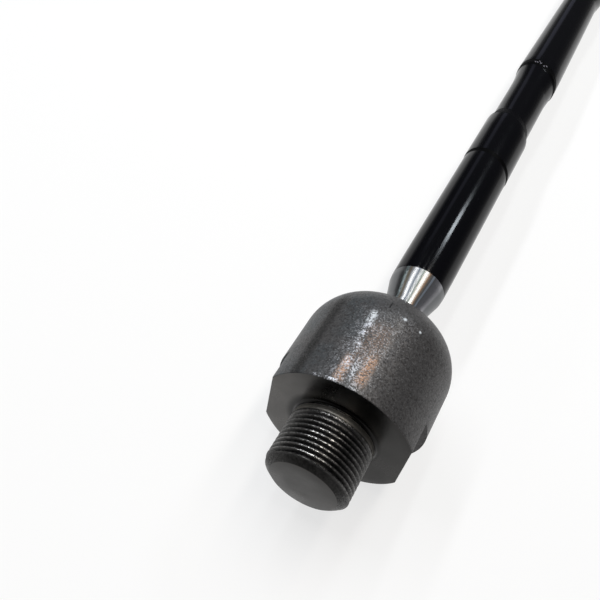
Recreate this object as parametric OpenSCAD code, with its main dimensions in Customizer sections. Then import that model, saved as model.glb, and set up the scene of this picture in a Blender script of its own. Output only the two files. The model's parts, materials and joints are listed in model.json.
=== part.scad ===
// Inner tie rod with an axial ball joint.
// The axis of the stud, socket and rod is X. The origin is the centre of the socket's seat face,
// the rod leaves towards +X and +Z is up.

/* [Rack stud] */
// Major diameter of the stud's thread
stud_d = 24; // [20:1:26]
// Length of the stud from the seat face to its end face
stud_len = 18; // [14:1:26]
// Diameter of the flat end face inside the lead chamfer
stud_face_d = 19.2; // [16:0.2:19.6]
// Length of the lead chamfer
stud_chamfer = 1.6; // [1:0.1:3]
// Radius of the fillet between the stud and the seat face
stud_fillet = 0.9; // [0.5:0.1:1.6]

/* [Socket] */
// Steel around the bore, measured on the cylinder
socket_wall = 5.1; // [4:0.1:7]
// Solid floor between the seat face and the bore
socket_floor = 8.6; // [7:0.2:12]
// Distance across the two wrench flats
wrench_size = 40; // [38:1:43]
// Length of the wrench flats from the seat face
wrench_len = 9.6; // [7:0.2:14]
// Chamfer round the seat face
seat_face_chamfer = 0.2; // [0.1:0.1:1]
// How far behind the ball's centre the rolled dome begins
dome_start = 2; // [0:0.5:4]
// Width of the lip's end face round the mouth
lip_edge = 1; // [0.6:0.1:1.8]

/* [Ball joint] */
// Diameter of the ball
ball_d = 28.5; // [26:0.5:31]
// Swing of the rod to each side before the neck meets the lip
swing_deg = 22; // [16:1:24]
// Room left between the neck and the lip at full swing
swing_room = 0.5; // [0.3:0.1:0.8]
// Wall of the two ball seats
seat_wall = 2.65; // [2:0.05:3.5]
// Thickness of the rear seat under the ball
seat_floor = 2.5; // [2:0.1:4]
// Gap between the two ball seats
seat_split = 0.6; // [0.3:0.1:1.2]
// How far the lip reaches beyond the front seat
lip_hold = 3.2; // [2.4:0.1:4]
// Diameter of the grease pocket in the rear seat
pocket_d = 8; // [5:0.5:10]
// Number of grease grooves in the rear seat and of slots in the front seat
groove_count = 6; // [3:1:8]
// Width of a grease groove or slot
groove_w = 1.8; // [1:0.1:2.4]
// Depth of a grease groove
groove_depth = 0.7; // [0.4:0.1:1.1]
// Closed web of the front seat behind its slots
slot_web = 2.4; // [1.6:0.1:4]
// Running gap between the ball and its seats
ball_gap = 0.05; // [0.02:0.01:0.1]
// Gap between the seats and the bore
seat_gap = 0.05; // [0.02:0.01:0.1]

/* [Preload spring] */
// Outer diameter of the disc spring
spring_d = 30; // [26:0.5:32]
// Bore of the disc spring
spring_bore_d = 15; // [12:0.5:18]
// Thickness of the spring's sheet
spring_t = 1.1; // [0.8:0.05:1.4]
// Height of the spring's cone beyond its thickness
spring_rise = 0.6; // [0.3:0.05:0.9]
// Gap between the spring and the rear seat
spring_gap = 0.05; // [0.03:0.01:0.1]

/* [Neck] */
// Diameter of the neck where it leaves the ball
neck_d = 12.8; // [11:0.2:14]
// Distance from the ball's centre to the end of the straight neck
neck_len = 20.5; // [18:0.5:26]
// Length of the neck's cone
neck_cone_len = 8; // [6:0.5:12]
// Diameter at the wide end of the neck's cone
neck_cone_d = 17; // [15:0.1:17.4]
// Length of the rounded shoulder between the cone and the shank
neck_shoulder_len = 5.3; // [3:0.1:8]

/* [Rod] */
// Diameter of the shank
shank_d = 17.7; // [17.5:0.1:20]
// Length of the shank up to the collar
shank_len = 59.6; // [45:0.2:85]
// Diameter of the collar beside the boot seat
collar_d = 18; // [17:0.1:21]
// Length of the bevel from the shank up to the collar
collar_rise = 2.6; // [0.5:0.1:5]
// Length of the collar
collar_len = 23.6; // [15:0.1:35]
// Diameter of the boot seat
boot_seat_d = 15.8; // [14:0.1:16.8]
// Length of the boot seat
boot_seat_len = 26.6; // [18:0.2:36]
// Length of the bevel from the collar down to the boot seat
collar_bevel = 4.2; // [2:0.1:8]
// Length of the gentle ramp from the boot seat towards the stop shoulder
stop_ramp = 6.8; // [3:0.1:10]
// Diameter at the top of the gentle ramp
stop_ramp_d = 16.9; // [16.8:0.1:17]
// Length of the bevel from the ramp up to the stop shoulder
stop_bevel = 2.6; // [1:0.1:6]
// Diameter of the stop shoulder
stop_d = 17.8; // [17:0.1:20]
// Length of the stop shoulder
stop_len = 6.2; // [2:0.1:10]
// Length of the tapered shank
taper_len = 67; // [50:1:90]
// Diameter at the thin end of the tapered shank
taper_d = 15.5; // [14:0.1:17]
// Length of the flare that leads to the adjusting thread
flare_len = 17; // [10:1:30]

/* [Adjusting thread] */
// Major diameter of the adjusting thread
adjust_d = 18; // [16:1:20]
// Length of the adjusting thread, with its end chamfer
adjust_len = 73; // [50:1:90]
// End chamfer of the adjusting thread
adjust_chamfer = 1.6; // [1:0.1:3]

/* [Hidden] */
$fn = 96;
cut = 1;
blend_steps = 10;

// Radii of the joint, from the ball outwards
ball_r = ball_d / 2;
seat_inner_r = ball_r + ball_gap;
seat_outer_r = seat_inner_r + seat_wall;
bore_r = seat_outer_r + seat_gap;
socket_r = bore_r + socket_wall;

// Places along X, from the seat face outwards
spring_x = socket_floor;
rear_seat_x = spring_x + spring_t + spring_rise + spring_gap;
ball_x = rear_seat_x + seat_floor + seat_inner_r;
dome_x = ball_x - dome_start;

// The mouth lies where the bore's sphere meets the neck at full swing
mouth_angle = swing_deg + asin(neck_d / 2 / bore_r) + asin(swing_room / bore_r);
mouth_r = bore_r * sin(mouth_angle);
mouth_x = ball_x + bore_r * cos(mouth_angle);
front_seat_end = bore_r * cos(mouth_angle) - lip_hold;
slot_start = seat_split / 2 + slot_web;

// The dome is one arc, tangent to the socket's cylinder and ending at the lip
dome_drop = socket_r - mouth_r - lip_edge;
dome_len = mouth_x - dome_x;
dome_r = (pow(dome_len, 2) + pow(dome_drop, 2)) / (2 * dome_drop);

// Stations along the rod, measured from the ball's centre
cone_end = neck_len + neck_cone_len;
shoulder_end = cone_end + neck_shoulder_len;
shank_end = shoulder_end + shank_len;
collar_start = shank_end + collar_rise;
collar_end = collar_start + collar_len;
boot_seat_start = collar_end + collar_bevel;
boot_seat_end = boot_seat_start + boot_seat_len;
stop_foot = boot_seat_end + stop_ramp;
stop_start = stop_foot + stop_bevel;
stop_end = stop_start + stop_len;
taper_end = stop_end + taper_len;
adjust_start = taper_end + flare_len;
rod_end = adjust_start + adjust_len;

// Smooth step from 0 to 1
function ease(t) = t * t * (3 - 2 * t);

// Points of a smooth blend between two radii over a length
function blend(y_from, y_to, r_from, r_to) = [
    for (i = [0 : blend_steps])
        let (t = i / blend_steps)
        [r_from + (r_to - r_from) * ease(t), y_from + (y_to - y_from) * t]
];

// Points of a rounded shoulder: a quarter wave that ends level
function shoulder(y_from, y_to, r_from, r_to) = [
    for (i = [0 : blend_steps])
        let (t = i / blend_steps)
        [r_from + (r_to - r_from) * sin(90 * t), y_from + (y_to - y_from) * t]
];

// Turns an outline drawn as radius and length about the X axis
module turned(x = 0) {
    translate([x, 0, 0])
        rotate([0, 90, 0])
            rotate_extrude()
                children();
}

module stud_outline() {
    polygon([
        [0, -stud_len],
        [stud_face_d / 2, -stud_len],
        [stud_d / 2, stud_chamfer - stud_len],
        [stud_d / 2, cut],
        [0, cut]
    ]);
    difference() {
        translate([stud_d / 2 - cut, -stud_fillet])
            square([stud_fillet + cut, stud_fillet + cut / 2]);
        translate([stud_d / 2 + stud_fillet, -stud_fillet])
            circle(r = stud_fillet);
    }
}

module socket_outline() {
    polygon([
        [0, 0],
        [socket_r - seat_face_chamfer, 0],
        [socket_r, seat_face_chamfer],
        [socket_r, dome_x],
        [0, dome_x]
    ]);
    intersection() {
        union() {
            translate([socket_r - dome_r, dome_x])
                circle(r = dome_r);
            translate([0, dome_x - cut])
                square([max(socket_r - dome_r, cut), dome_len + cut]);
        }
        translate([0, dome_x - cut])
            square([socket_r, dome_len + cut]);
    }
}

module bore_outline() {
    translate([0, socket_floor])
        square([bore_r, ball_x - socket_floor]);
    intersection() {
        translate([0, ball_x])
            circle(r = bore_r);
        translate([0, ball_x - cut])
            square([bore_r, bore_r + 2 * cut]);
    }
}

// Box that leaves the two wrench flats when it is cut away on one side
module wrench_cut(side) {
    translate([-cut, side > 0 ? wrench_size / 2 : -wrench_size / 2 - socket_wall, -socket_r])
        cube([wrench_len + cut, socket_wall, 2 * socket_r]);
}

module socket_housing() {
    color("dimgray")
        difference() {
            turned() {
                stud_outline();
                socket_outline();
            }
            turned()
                bore_outline();
            wrench_cut(1);
            wrench_cut(-1);
        }
}

module preload_spring() {
    land = spring_t / 2;
    color("silver")
        turned(spring_x)
            polygon([
                [spring_d / 2 - land, 0],
                [spring_d / 2, 0],
                [spring_d / 2, spring_t],
                [spring_bore_d / 2 + land, spring_t + spring_rise],
                [spring_bore_d / 2, spring_t + spring_rise],
                [spring_bore_d / 2, spring_rise]
            ]);
}

// Grease grooves, cut into the spherical face from the ball's side
module grease_grooves() {
    intersection() {
        sphere(r = seat_inner_r + groove_depth);
        for (i = [0 : groove_count - 1])
            rotate([i * 360 / groove_count, 0, 0])
                translate([-ball_d, -groove_w / 2, 0])
                    cube([2 * ball_d, groove_w, ball_d]);
    }
}

module rear_ball_seat() {
    length = ball_x - seat_split / 2 - rear_seat_x;
    color("ivory")
        difference() {
            turned(rear_seat_x)
                square([seat_outer_r, length]);
            turned(rear_seat_x - cut)
                square([pocket_d / 2, length]);
            translate([ball_x, 0, 0])
                sphere(r = seat_inner_r);
            translate([ball_x, 0, 0])
                grease_grooves();
        }
}

// Section of the front seat: a spherical ring with a flat front face
module front_seat_outline() {
    difference() {
        intersection() {
            circle(r = seat_outer_r);
            translate([0, seat_split / 2])
                square([seat_outer_r, front_seat_end - seat_split / 2]);
        }
        circle(r = seat_inner_r);
    }
}

// Slots that let the front seat close round the ball, open at its front face
module front_seat_slots() {
    for (i = [0 : groove_count - 1])
        rotate([i * 360 / groove_count, 0, 0])
            translate([slot_start, -groove_w / 2, 0])
                cube([front_seat_end - slot_start + cut, groove_w, seat_outer_r + cut]);
}

module front_ball_seat() {
    color("ivory")
        translate([ball_x, 0, 0])
            difference() {
                turned()
                    front_seat_outline();
                front_seat_slots();
            }
}

module rod_outline() {
    intersection() {
        circle(r = ball_r);
        translate([0, -ball_r])
            square([ball_r, ball_d]);
    }
    polygon(concat(
        [[0, 0], [neck_d / 2, 0], [neck_d / 2, neck_len]],
        shoulder(cone_end, shoulder_end, neck_cone_d / 2, shank_d / 2),
        [
            [shank_d / 2, shank_end],
            [collar_d / 2, collar_start],
            [collar_d / 2, collar_end],
            [boot_seat_d / 2, boot_seat_start],
            [boot_seat_d / 2, boot_seat_end],
            [stop_ramp_d / 2, stop_foot],
            [stop_d / 2, stop_start],
            [stop_d / 2, stop_end]
        ],
        blend(taper_end, adjust_start, taper_d / 2, adjust_d / 2),
        [
            [adjust_d / 2, rod_end - adjust_chamfer],
            [adjust_d / 2 - adjust_chamfer, rod_end],
            [0, rod_end]
        ]
    ));
}

module ball_rod() {
    color("black")
        turned(ball_x)
            rod_outline();
}

socket_housing();
preload_spring();
rear_ball_seat();
front_ball_seat();
ball_rod();
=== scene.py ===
"""Looks of an inner tie rod: finished meshes, materials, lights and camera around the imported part."""

import json
import logging
import math
from dataclasses import dataclass, field
from enum import Enum

import bmesh
import bpy
import numpy as np
from mathutils import Euler, Matrix, Vector


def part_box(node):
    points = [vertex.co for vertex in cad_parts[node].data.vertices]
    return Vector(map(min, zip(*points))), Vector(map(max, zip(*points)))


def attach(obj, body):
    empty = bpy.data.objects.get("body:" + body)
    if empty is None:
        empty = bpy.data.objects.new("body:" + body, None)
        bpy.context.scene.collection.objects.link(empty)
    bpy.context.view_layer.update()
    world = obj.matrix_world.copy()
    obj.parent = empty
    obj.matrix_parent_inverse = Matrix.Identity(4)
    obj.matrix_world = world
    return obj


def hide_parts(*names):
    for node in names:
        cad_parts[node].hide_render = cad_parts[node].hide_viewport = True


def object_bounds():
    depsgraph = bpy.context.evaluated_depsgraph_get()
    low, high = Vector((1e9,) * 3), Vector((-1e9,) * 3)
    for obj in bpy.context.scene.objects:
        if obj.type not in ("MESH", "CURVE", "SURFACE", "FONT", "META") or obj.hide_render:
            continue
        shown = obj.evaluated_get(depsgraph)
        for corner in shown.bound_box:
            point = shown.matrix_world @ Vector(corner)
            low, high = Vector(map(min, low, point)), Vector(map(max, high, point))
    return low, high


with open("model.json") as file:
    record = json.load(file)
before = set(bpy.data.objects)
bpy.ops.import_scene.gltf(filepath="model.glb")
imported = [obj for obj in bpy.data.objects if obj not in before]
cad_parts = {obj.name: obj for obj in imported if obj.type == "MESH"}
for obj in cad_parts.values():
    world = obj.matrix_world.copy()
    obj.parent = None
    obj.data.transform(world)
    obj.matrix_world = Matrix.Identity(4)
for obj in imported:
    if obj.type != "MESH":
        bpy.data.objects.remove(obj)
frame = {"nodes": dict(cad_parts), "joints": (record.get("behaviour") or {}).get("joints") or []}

log = logging.getLogger("tie_rod")

MM = 0.001
FULL_TURN = 2 * math.pi
PACKED_BOX = [list(corner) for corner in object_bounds()]


class Skin(Enum):
    """Finishes that a mesh can carry; the value is the material's name."""

    FORGED = "forged_steel"
    MACHINED = "machined_steel"
    THREAD = "rolled_thread"
    BRIGHT = "bright_turned_steel"
    PAINT = "black_gloss_paint"
    PHOSPHATE = "phosphated_thread"
    EDGE = "worn_edge"
    DULL_PAINT = "dull_paint"
    DIE_LINE = "dull_die_line"
    RESIN = "seat_resin"
    SPRING = "spring_steel"


class Graph:
    """Adds and joins nodes in one shader tree."""

    def __init__(self, tree: bpy.types.NodeTree) -> None:
        """Keeps the tree that nodes are added to."""
        self.tree = tree

    def node(self, kind: str, **settings: object) -> bpy.types.Node:
        """Adds a node.

        Args:
            kind: The node's type name without its ShaderNode prefix.
            **settings: Properties to set on the node.

        Returns:
            The new node.
        """
        made = self.tree.nodes.new(kind if kind.startswith("NodeGroup") else "ShaderNode" + kind)
        for name, value in settings.items():
            setattr(made, name, value)
        return made

    def feed(self, socket: bpy.types.NodeSocket, value: object) -> None:
        """Links a socket into an input, or sets the input to a plain value."""
        if isinstance(value, bpy.types.NodeSocket):
            self.tree.links.new(value, socket)
        else:
            socket.default_value = value

    def math(self, operation: str, first: object, second: object = 0.0, clamp: bool = False) -> bpy.types.NodeSocket:
        """Adds a math node.

        Args:
            operation: Name of the math operation.
            first: First input, a socket or a number.
            second: Second input, a socket or a number.
            clamp: Whether the result is kept between 0 and 1.

        Returns:
            The result's socket.
        """
        made = self.node("Math", operation=operation, use_clamp=clamp)
        self.feed(made.inputs[0], first)
        self.feed(made.inputs[1], second)
        return made.outputs[0]

    def mix(self, share: object, first: object, second: object, blend: str = "MIX") -> bpy.types.NodeSocket:
        """Mixes two colours by a share and returns the colour's socket."""
        made = self.node("Mix", data_type="RGBA", blend_type=blend)
        self.feed(made.inputs[0], share)
        self.feed(made.inputs[6], first)
        self.feed(made.inputs[7], second)
        return made.outputs[2]

    def noise(self, vector: object, scale: object, detail: float = 3.0, rough: float = 0.5) -> bpy.types.NodeSocket:
        """Adds a noise texture and returns its value's socket."""
        made = self.node("TexNoise")
        self.feed(made.inputs["Vector"], vector)
        self.feed(made.inputs["Scale"], scale)
        made.inputs["Detail"].default_value = detail
        made.inputs["Roughness"].default_value = rough
        return made.outputs["Fac"]

    def spread(self, value: object, low: float, high: float, to_low: float = 0.0, to_high: float = 1.0) -> bpy.types.NodeSocket:
        """Maps a range of values smoothly to another one and returns the result's socket."""
        made = self.node("MapRange", interpolation_type="SMOOTHSTEP")
        self.feed(made.inputs["Value"], value)
        made.inputs["From Min"].default_value = low
        made.inputs["From Max"].default_value = high
        made.inputs["To Min"].default_value = to_low
        made.inputs["To Max"].default_value = to_high
        return made.outputs["Result"]

    def place(self) -> bpy.types.NodeSocket:
        """Returns the socket of the point's place on its own piece, in metres."""
        return self.node("TexCoord").outputs["Object"]

    def uneven_normal(self, place: object, scale: float, depth: float) -> bpy.types.NodeSocket:
        """Returns a normal of a slightly wavy surface, from its waves' scale and their depth in metres."""
        bump = self.node("Bump")
        bump.inputs["Strength"].default_value = 1.0
        bump.inputs["Distance"].default_value = depth
        self.feed(bump.inputs["Height"], self.noise(place, scale, 3.0, 0.55))
        return bump.outputs["Normal"]

    def streak(self, polar: bpy.types.Node, angle_deg: tuple[float, float], along: tuple[float, float], weight: float) -> bpy.types.NodeSocket:
        """Masks a soft streak along the axis.

        Args:
            polar: Node of the axis_places effect.
            angle_deg: Middle and half width of the streak, from +Z towards +Y.
            along: Both ends of the streak in millimetres.
            weight: Strength of the mask.

        Returns:
            The mask's socket.
        """
        middle, half = math.radians(angle_deg[0]), math.radians(angle_deg[1])
        away = self.math("ABSOLUTE", self.math("SUBTRACT", polar.outputs["Angle"], middle))
        across = self.spread(away, half, 0.2 * half)
        fade = 0.25 * (along[1] - along[0])
        enter = self.spread(polar.outputs["Along"], along[0] * MM, (along[0] + fade) * MM)
        leave = self.spread(polar.outputs["Along"], along[1] * MM, (along[1] - fade) * MM)
        return self.math("MULTIPLY", self.math("MULTIPLY", across, weight), self.math("MULTIPLY", enter, leave))

    def streaks(self, polar: bpy.types.Node, settings: tuple) -> bpy.types.NodeSocket:
        """Masks several streaks, from the angles, ends and weight of each."""
        whole = self.streak(polar, *settings[0])
        for setting in settings[1:]:
            whole = self.math("MAXIMUM", whole, self.streak(polar, *setting))
        return whole

    def flecks(self, place: object, spots: tuple) -> bpy.types.NodeSocket:
        """Masks small round flecks.

        Args:
            place: The point's place.
            spots: Centre and radius of each fleck, in millimetres.

        Returns:
            The mask's socket.
        """
        whole = None
        for centre, radius in spots:
            apart = self.node("VectorMath", operation="DISTANCE")
            self.feed(apart.inputs[0], place)
            apart.inputs[1].default_value = [c * MM for c in centre]
            spot = self.spread(apart.outputs["Value"], radius * MM, 0.15 * radius * MM)
            whole = spot if whole is None else self.math("MAXIMUM", whole, spot)
        return whole

    def effect(self, group: bpy.types.NodeTree, **values: object) -> bpy.types.Node:
        """Places a shared effect.

        Args:
            group: The effect's node group.
            **values: Inputs by name, with underscores for spaces.

        Returns:
            The group's node.
        """
        made = self.node("Group", node_tree=group)
        for name, value in values.items():
            self.feed(made.inputs[name.replace("_", " ")], value)
        return made


class Effects:
    """Node groups that several finishes share, each built once."""

    def __init__(self) -> None:
        """Builds every shared group."""
        self.polar = self._polar()
        self.grain = self._grain()
        self.turning = self._turning()
        self.smudge = self._smudge()

    @staticmethod
    def _open(name: str, inputs: dict[str, tuple[str, float]], outputs: dict[str, str]) -> tuple[Graph, bpy.types.Node, bpy.types.Node]:
        """Opens a new group.

        Args:
            name: The group's name.
            inputs: Socket type and default by input name.
            outputs: Socket type by output name.

        Returns:
            The graph, the group's input node and its output node.
        """
        tree = bpy.data.node_groups.new(name, "ShaderNodeTree")
        for label, (kind, default) in inputs.items():
            made = tree.interface.new_socket(name=label, in_out="INPUT", socket_type=kind)
            if kind == "NodeSocketFloat":
                made.default_value = default
        for label, kind in outputs.items():
            tree.interface.new_socket(name=label, in_out="OUTPUT", socket_type=kind)
        graph = Graph(tree)
        return graph, graph.node("NodeGroupInput"), graph.node("NodeGroupOutput")

    def _polar(self) -> bpy.types.NodeTree:
        """Gives a point's distance along the axis, its radius and its angle, from its place."""
        graph, enter, leave = self._open(
            "axis_places",
            {"Place": ("NodeSocketVector", 0.0)},
            {"Along": "NodeSocketFloat", "Radius": "NodeSocketFloat", "Angle": "NodeSocketFloat"},
        )
        parts = graph.node("SeparateXYZ")
        graph.feed(parts.inputs[0], enter.outputs["Place"])
        across = graph.math("MULTIPLY", parts.outputs[1], parts.outputs[1])
        upward = graph.math("MULTIPLY", parts.outputs[2], parts.outputs[2])
        radius = graph.math("SQRT", graph.math("ADD", across, upward))
        angle = graph.math("ARCTAN2", parts.outputs[1], parts.outputs[2])
        graph.feed(leave.inputs["Along"], parts.outputs[0])
        graph.feed(leave.inputs["Radius"], radius)
        graph.feed(leave.inputs["Angle"], angle)
        return graph.tree

    def _grain(self) -> bpy.types.NodeTree:
        """Gives the grain of blasted steel: a normal that leans a little in each grain, and two masks."""
        graph, enter, leave = self._open(
            "blasted_grain",
            {
                "Place": ("NodeSocketVector", 0.0),
                "Scale": ("NodeSocketFloat", 3000.0),
                "Lean": ("NodeSocketFloat", 0.2),
                "Normal": ("NodeSocketVector", 0.0),
            },
            {"Normal": "NodeSocketVector", "Tone": "NodeSocketFloat", "Pit": "NodeSocketFloat"},
        )
        place, scale = enter.outputs["Place"], enter.outputs["Scale"]
        cells = graph.node("TexVoronoi", feature="F1")
        graph.feed(cells.inputs["Vector"], place)
        graph.feed(cells.inputs["Scale"], scale)
        centred = graph.node("VectorMath", operation="SUBTRACT")
        graph.feed(centred.inputs[0], cells.outputs["Color"])
        centred.inputs[1].default_value = (0.5, 0.5, 0.5)
        leaning = graph.node("VectorMath", operation="SCALE")
        graph.feed(leaning.inputs[0], centred.outputs[0])
        graph.feed(leaning.inputs["Scale"], enter.outputs["Lean"])
        summed = graph.node("VectorMath", operation="ADD")
        graph.feed(summed.inputs[0], enter.outputs["Normal"])
        graph.feed(summed.inputs[1], leaning.outputs[0])
        unit = graph.node("VectorMath", operation="NORMALIZE")
        graph.feed(unit.inputs[0], summed.outputs[0])
        graph.feed(leave.inputs["Normal"], unit.outputs[0])
        tint = graph.node("SeparateColor")
        graph.feed(tint.inputs[0], cells.outputs["Color"])
        graph.feed(leave.inputs["Tone"], tint.outputs[2])
        fine = graph.noise(place, graph.math("MULTIPLY", scale, 0.45), 4.0, 0.65)
        graph.feed(leave.inputs["Pit"], graph.spread(fine, 0.46, 0.32))
        return graph.tree

    def _turning(self) -> bpy.types.NodeTree:
        """Gives the fine lines that a turning tool leaves, from a distance across the lines."""
        graph, enter, leave = self._open(
            "turning_lines",
            {"Across": ("NodeSocketFloat", 0.0), "Spacing": ("NodeSocketFloat", 0.0002)},
            {"Height": "NodeSocketFloat", "Tone": "NodeSocketFloat"},
        )
        line = graph.math("DIVIDE", enter.outputs["Across"], enter.outputs["Spacing"])
        joined = graph.node("CombineXYZ")
        graph.feed(joined.inputs[0], line)
        fine = graph.noise(joined.outputs[0], 1.0, 2.0, 0.7)
        broad = graph.noise(joined.outputs[0], 0.13, 2.0, 0.5)
        graph.feed(leave.inputs["Height"], fine)
        graph.feed(leave.inputs["Tone"], graph.math("ADD", graph.math("MULTIPLY", fine, 0.4), graph.math("MULTIPLY", broad, 0.6)))
        return graph.tree

    def _smudge(self) -> bpy.types.NodeTree:
        """Gives soft uneven patches, as handling and oil leave, from a place and a scale."""
        graph, enter, leave = self._open(
            "handling_smudge",
            {"Place": ("NodeSocketVector", 0.0), "Scale": ("NodeSocketFloat", 60.0)},
            {"Patch": "NodeSocketFloat", "Speck": "NodeSocketFloat"},
        )
        place, scale = enter.outputs["Place"], enter.outputs["Scale"]
        graph.feed(leave.inputs["Patch"], graph.spread(graph.noise(place, scale, 4.0, 0.55), 0.32, 0.68))
        speck = graph.noise(place, graph.math("MULTIPLY", scale, 22.0), 2.0, 0.6)
        graph.feed(leave.inputs["Speck"], graph.spread(speck, 0.66, 0.78))
        return graph.tree


@dataclass(frozen=True)
class Finish:
    """A surface's shared numbers: its colour, its metal share and its roughness."""

    skin: Skin
    colour: tuple[float, float, float]
    metal: float
    rough: float

    def open(self) -> tuple[bpy.types.Material, Graph, bpy.types.Node]:
        """Makes the empty material.

        Returns:
            The material, its graph and its Principled node.
        """
        material = bpy.data.materials.new(self.skin.value)
        material.use_nodes = True
        graph = Graph(material.node_tree)
        shader = material.node_tree.nodes["Principled BSDF"]
        shader.inputs["Base Color"].default_value = (*self.colour, 1.0)
        shader.inputs["Metallic"].default_value = self.metal
        shader.inputs["Roughness"].default_value = self.rough
        material.diffuse_color = (*self.colour, 1.0)
        return material, graph, shader

    def bump(self, graph: Graph, shader: bpy.types.Node, height: object, depth: float, strength: float = 1.0) -> None:
        """Feeds a height into the shader's normal through a Bump node, with its depth in metres."""
        node = graph.node("Bump")
        node.inputs["Strength"].default_value = strength
        node.inputs["Distance"].default_value = depth
        graph.feed(node.inputs["Height"], height)
        graph.feed(shader.inputs["Normal"], node.outputs["Normal"])


@dataclass(frozen=True)
class ForgedFinish(Finish):
    """Blasted and oiled forging: dull mottled grain, a warm copper tint along the top, bare grains that are partly
    painted glints, painted highlight spots and a painted dark reflection down one side.
    """

    cool: tuple[float, float, float] = (0.045, 0.054, 0.06)
    light: tuple[float, float, float] = (0.12, 0.12, 0.124)
    # bright bare metal: wear, and painted glints where it lies in the lamps' glint streaks
    bare: tuple[float, float, float] = (0.41, 0.425, 0.46)
    copper_tint: tuple[float, float, float] = (0.3, 0.17, 0.1)
    # colour of the painted highlights: two round spots on the dome and a patch at the top of the glint streak
    fleck: tuple[float, float, float] = (0.56, 0.6, 0.64)
    lean: float = 0.26
    grain_scale: float = 3000.0

    def build(self, effects: Effects) -> bpy.types.Material:
        """Builds the forging's material."""
        material, graph, shader = self.open()
        place = graph.place()
        polar = graph.effect(effects.polar, Place=place)
        normal = graph.uneven_normal(place, 420.0, 0.00004)
        grain = graph.effect(effects.grain, Place=place, Scale=self.grain_scale, Lean=self.lean, Normal=normal)
        smudge = graph.effect(effects.smudge, Place=place, Scale=110.0)
        mottle = graph.noise(place, 1300.0, 3.0, 0.6)
        side = graph.spread(polar.outputs["Angle"], math.radians(-15.0), math.radians(35.0))
        tone = graph.mix(graph.math("MULTIPLY", side, smudge.outputs["Patch"]), (*self.colour, 1.0), (*self.cool, 1.0))
        tone = graph.mix(graph.spread(mottle, 0.52, 0.34), tone, tuple(0.55 * c for c in self.colour) + (1.0,))
        bright = graph.spread(grain.outputs["Tone"], 0.6, 1.0)
        tone = graph.mix(graph.math("MULTIPLY", bright, 0.4), tone, (*self.light, 1.0))
        tone = graph.mix(graph.math("MULTIPLY", grain.outputs["Pit"], 0.7), tone, tuple(0.2 * c for c in self.colour) + (1.0,))
        # painted dark reflection: a dark streak down the housing's left side, where the dark horizon would be mirrored
        tone = graph.mix(graph.streak(polar, *PAINTED_DARK_REFLECTION_STREAK), tone, tuple(0.2 * c for c in self.colour) + (1.0,))
        # bare grains, brighter and more metallic: wear, and painted glints along the lamps' reflections
        bare = self._bare_and_glint_mask(graph, polar, grain, place)
        tone = graph.mix(bare, tone, (*self.bare, 1.0))
        # warm copper tint on the metal, in streaks beside the glints along the top
        copper_tint = graph.math("MULTIPLY", graph.streaks(polar, COPPER_TINT_STREAKS), graph.spread(graph.noise(place, 1900.0, 4.0, 0.7), 0.4, 0.6))
        tone = graph.mix(copper_tint, tone, (*self.copper_tint, 1.0))
        tone = graph.mix(graph.streak(polar, (4.8, 0.9), (27.6, 31.0), 1.0), tone, (0.004, 0.004, 0.004, 1.0))
        # painted highlights: light non-metal spots on the dome and a ragged patch where the lamps' reflections fall
        patchy = graph.spread(graph.noise(place, 1300.0, 4.0, 0.65), 0.4, 0.56)
        patch = graph.math("MULTIPLY", graph.streak(polar, *PAINTED_HIGHLIGHT_PATCH), patchy)
        flecks = graph.math("MAXIMUM", graph.flecks(place, PAINTED_DOME_HIGHLIGHTS), patch)
        tone = graph.mix(flecks, tone, (*self.fleck, 1.0))
        graph.feed(shader.inputs["Base Color"], tone)
        metal = graph.math("MAXIMUM", self.metal, graph.math("MAXIMUM", bare, copper_tint))
        graph.feed(shader.inputs["Metallic"], graph.math("SUBTRACT", metal, flecks, clamp=True))
        rough = graph.math("SUBTRACT", self.rough, graph.math("MULTIPLY", graph.math("MAXIMUM", bare, copper_tint), 0.13))
        graph.feed(shader.inputs["Roughness"], rough)
        graph.feed(shader.inputs["Normal"], grain.outputs["Normal"])
        shader.inputs["Specular IOR Level"].default_value = 0.35
        shader.inputs["Coat Weight"].default_value = 0.06
        shader.inputs["Coat Roughness"].default_value = 0.14
        return material

    def _bare_and_glint_mask(self, graph: Graph, polar: bpy.types.Node, grain: bpy.types.Node, place: object) -> bpy.types.NodeSocket:
        """Masks single bare grains, which crowd together in streaks along the top; the streaks lie where the lamps'
        glints fall, so they are painted glints as well as wear.
        """
        clusters = graph.spread(graph.noise(place, 380.0, 4.0, 0.65), 0.4, 0.56)
        crowd = graph.math("MULTIPLY", graph.streaks(polar, BARE_AND_GLINT_STREAKS), clusters)
        dense = graph.math("ADD", grain.outputs["Tone"], graph.math("MULTIPLY", crowd, 0.6))
        zone = graph.streaks(polar, (BARE_AND_GLINT_ZONE,))
        strength = graph.math("MAXIMUM", zone, crowd)
        return graph.math("MULTIPLY", graph.spread(dense, 0.55, 1.1), strength)


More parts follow.
